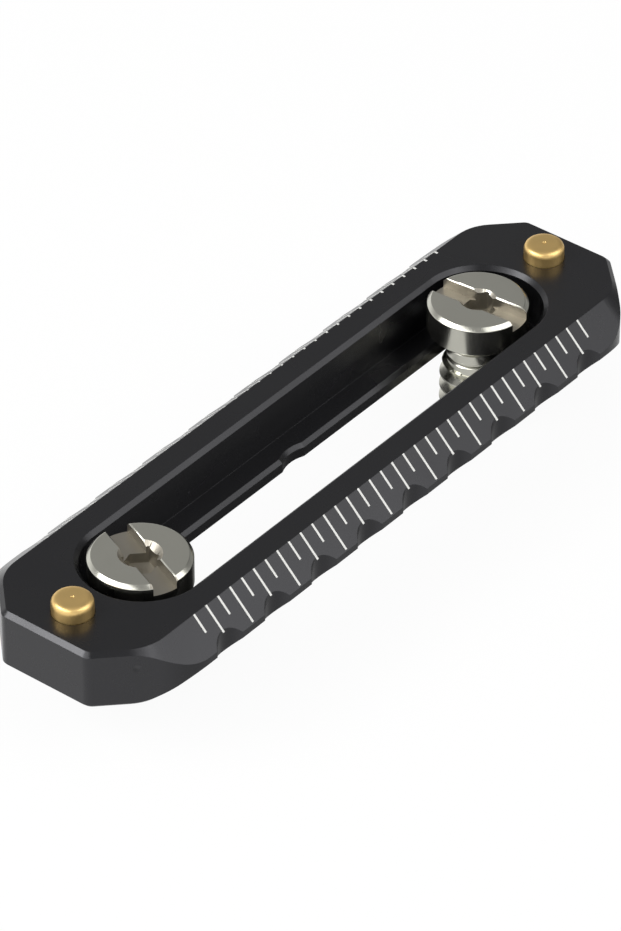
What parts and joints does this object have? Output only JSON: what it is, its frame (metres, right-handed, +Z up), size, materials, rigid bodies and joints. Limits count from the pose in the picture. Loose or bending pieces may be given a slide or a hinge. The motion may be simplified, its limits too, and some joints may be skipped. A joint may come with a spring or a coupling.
{
  "type": "nato rail",
  "caption": "Low slide-on accessory rail with sloped flanks, cut corners and scalloped sides, a stepped long slot that holds captive slotted screws, and sprung brass stop pins near its ends.",
  "frame": {"origin": "middle of the base face, which is clamped to the equipment", "axes": "+X along the rail, +Z up out of the top face, with the screws' threads below the base"},
  "size_m": [0.0696, 0.0206, 0.0126],
  "materials": {
    "black_anodised": "satin",
    "screw_steel": "satin",
    "pin_brass": "satin",
    "spring_steel": "satin"
  },
  "bodies": {
    "rail": {"rail_body": "black_anodised", "pin_spring_left": "spring_steel", "pin_spring_right": "spring_steel", "pin_plug_left": "black_anodised", "pin_plug_right": "black_anodised"},
    "left_screw": {"screw_left": "screw_steel"},
    "right_screw": {"screw_right": "screw_steel"},
    "left_stop_pin": {"stop_pin_left": "pin_brass"},
    "right_stop_pin": {"stop_pin_right": "pin_brass"}
  },
  "joints": [
    {"name": "screw_left_slide", "type": "slide", "parent": "rail", "child": "left_screw", "axis": [1, 0, 0], "range_m": [0, 0.01825]},
    {"name": "screw_right_slide", "type": "slide", "parent": "rail", "child": "right_screw", "axis": [1, 0, 0], "range_m": [-0.01727, 0.001]},
    {"name": "stop_pin_left_press", "type": "slide", "parent": "rail", "child": "left_stop_pin", "axis": [0, 0, -1], "range_m": [0, 0.00145], "stiffness_N_per_m": 800, "springref_m": -0.0015, "deforming": ["pin_spring_left"]},
    {"name": "stop_pin_right_press", "type": "slide", "parent": "rail", "child": "right_stop_pin", "axis": [0, 0, -1], "range_m": [0, 0.00145], "stiffness_N_per_m": 800, "springref_m": -0.0015, "deforming": ["pin_spring_right"]}
  ]
}
